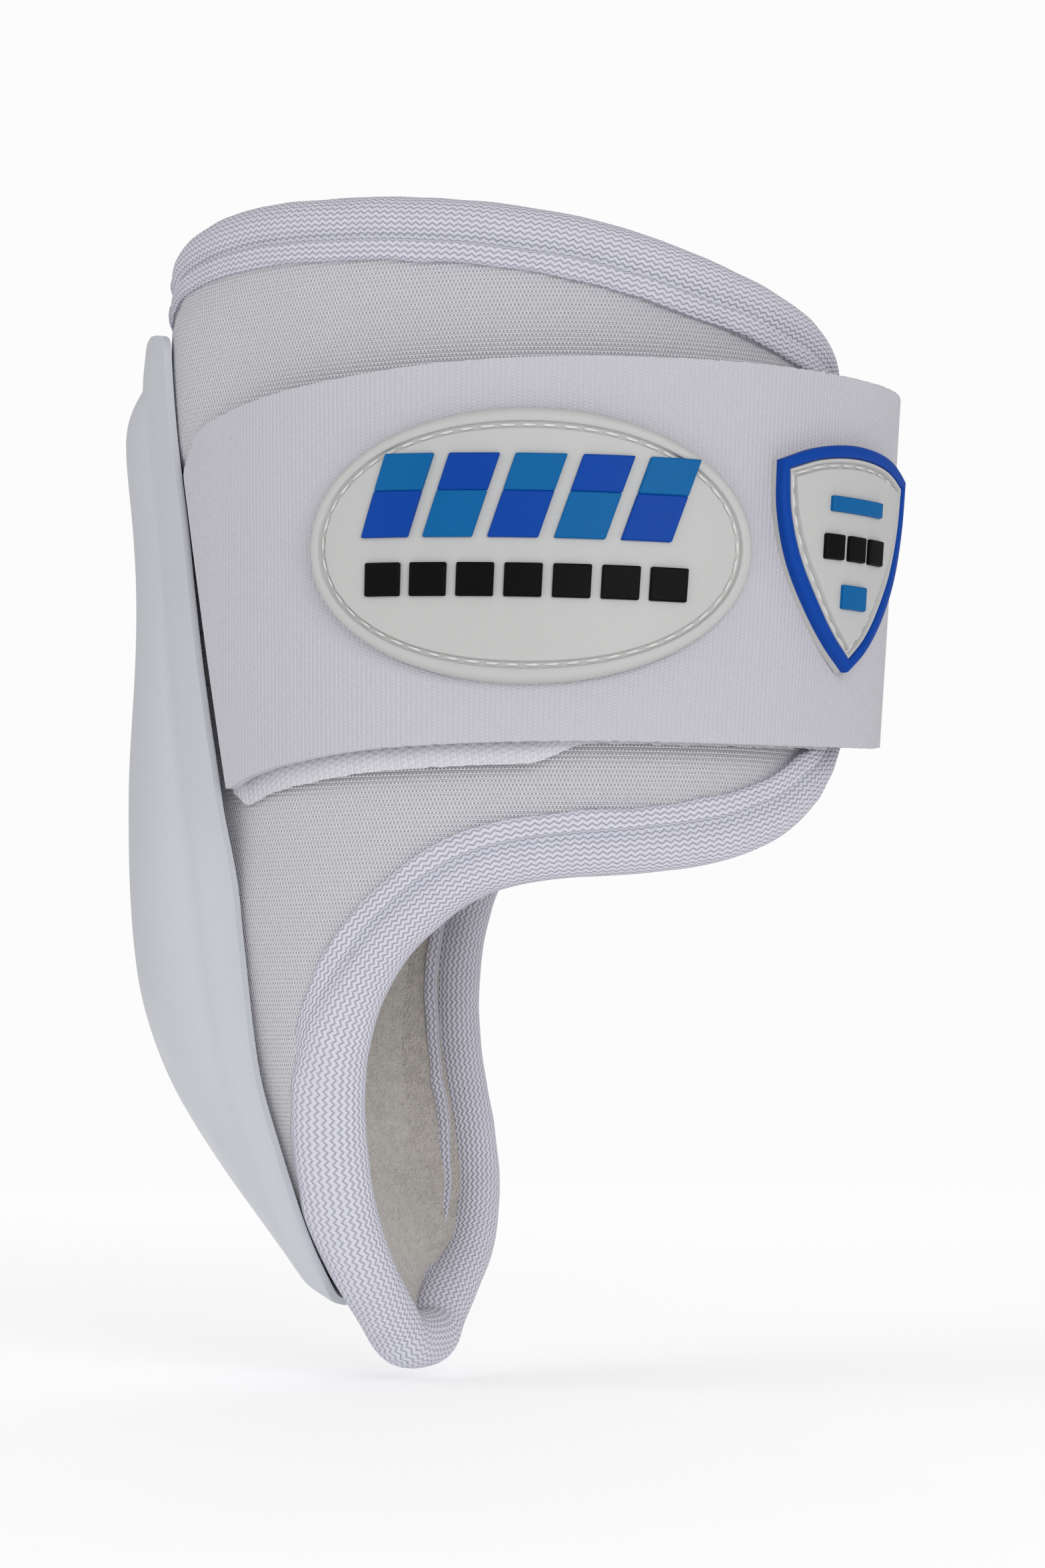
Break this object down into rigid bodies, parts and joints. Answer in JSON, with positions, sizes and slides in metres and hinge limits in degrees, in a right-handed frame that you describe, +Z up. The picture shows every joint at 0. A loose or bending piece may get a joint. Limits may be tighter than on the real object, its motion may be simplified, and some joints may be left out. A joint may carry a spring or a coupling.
{
  "type": "horse fetlock boot",
  "caption": "Moulded-shell fetlock boot with a padded knit liner, rolled edge binding and one wide wrap strap that opens a hinged near flap.",
  "frame": {"origin": "on the axis of the leg inside the boot, level with the boot's lowest point", "axes": "+Z up the leg, -X towards the moulded shell at the back of the leg, +X to the front, -Y towards the side the strap closes on"},
  "size_m": [0.1221, 0.096, 0.1705],
  "materials": {
    "shell": "cool grey-white moulded TPU, satin",
    "foam": "closed-cell foam, pale",
    "knit": "fine warp-knit facing, matt",
    "neoprene": "closed-cell neoprene, matt",
    "lining": "beige brushed fleece",
    "binding": "zigzag knit binding tape, slightly blue white",
    "strap": "ribbed elastic webbing, matt",
    "loop_tape": "fine ribbed loop fabric, matt",
    "hook_tape": "moulded hook tape, white",
    "thread": "polyester thread, off-white",
    "patch_white": "ivory moulded rubber, satin",
    "patch_blue": "royal blue moulded rubber, satin",
    "patch_sky": "teal-blue moulded rubber, satin",
    "patch_black": "black moulded rubber, satin"
  },
  "bodies": {
    "boot": {"strike_shell": "shell", "impact_pad": "foam", "liner_cover": "knit", "liner_core": "neoprene", "liner_lining": "lining", "back_pad": "lining", "boot_binding": "binding", "strap_anchor": "strap"},
    "flap": {"flap_cover": "knit", "flap_core": "neoprene", "flap_lining": "lining", "flap_binding": "binding", "loop_panel": "loop_tape"},
    "strap_front": {"strap_front_web": "strap", "strap_front_backing": "loop_tape"},
    "strap_end": {"strap_end_web": "strap", "strap_end_backing": "loop_tape", "hook_tape": "hook_tape", "oval_patch": "patch_white", "oval_stitching": "thread", "oval_bar_1": "patch_blue", "oval_bar_2": "patch_sky", "oval_bar_3": "patch_blue", "oval_bar_4": "patch_sky", "oval_bar_5": "patch_blue", "oval_block_1": "patch_black", "oval_block_2": "patch_black", "oval_block_3": "patch_black", "oval_block_4": "patch_black", "oval_block_5": "patch_black", "oval_block_6": "patch_black", "oval_block_7": "patch_black", "shield_patch": "patch_white", "shield_rim": "patch_blue", "shield_stitching": "thread", "shield_bar_upper": "patch_sky", "shield_bar_lower": "patch_sky", "shield_block_1": "patch_black", "shield_block_2": "patch_black", "shield_block_3": "patch_black"}
  },
  "joints": [
    {"name": "strap_peel", "type": "hinge", "parent": "strap_front", "child": "strap_end", "pos_m": [0.058, 0.017, 0.1165], "axis": [0, 0, 1], "range_deg": [0, 110]},
    {"name": "strap_swing", "type": "hinge", "parent": "boot", "child": "strap_front", "pos_m": [-0.0252, 0.042, 0.1165], "axis": [0, 0, 1], "range_deg": [0, 36]},
    {"name": "flap_open", "type": "hinge", "parent": "boot", "child": "flap", "pos_m": [-0.0225, -0.0375, 0.1115], "axis": [-0.219, 0.036, 0.9751], "range_deg": [-26, 0]}
  ],
  "couplings": [
    {"joint": "strap_swing", "follows": "strap_peel", "ratio": 0.318},
    {"joint": "flap_open", "follows": "strap_peel", "ratio": -0.227}
  ]
}
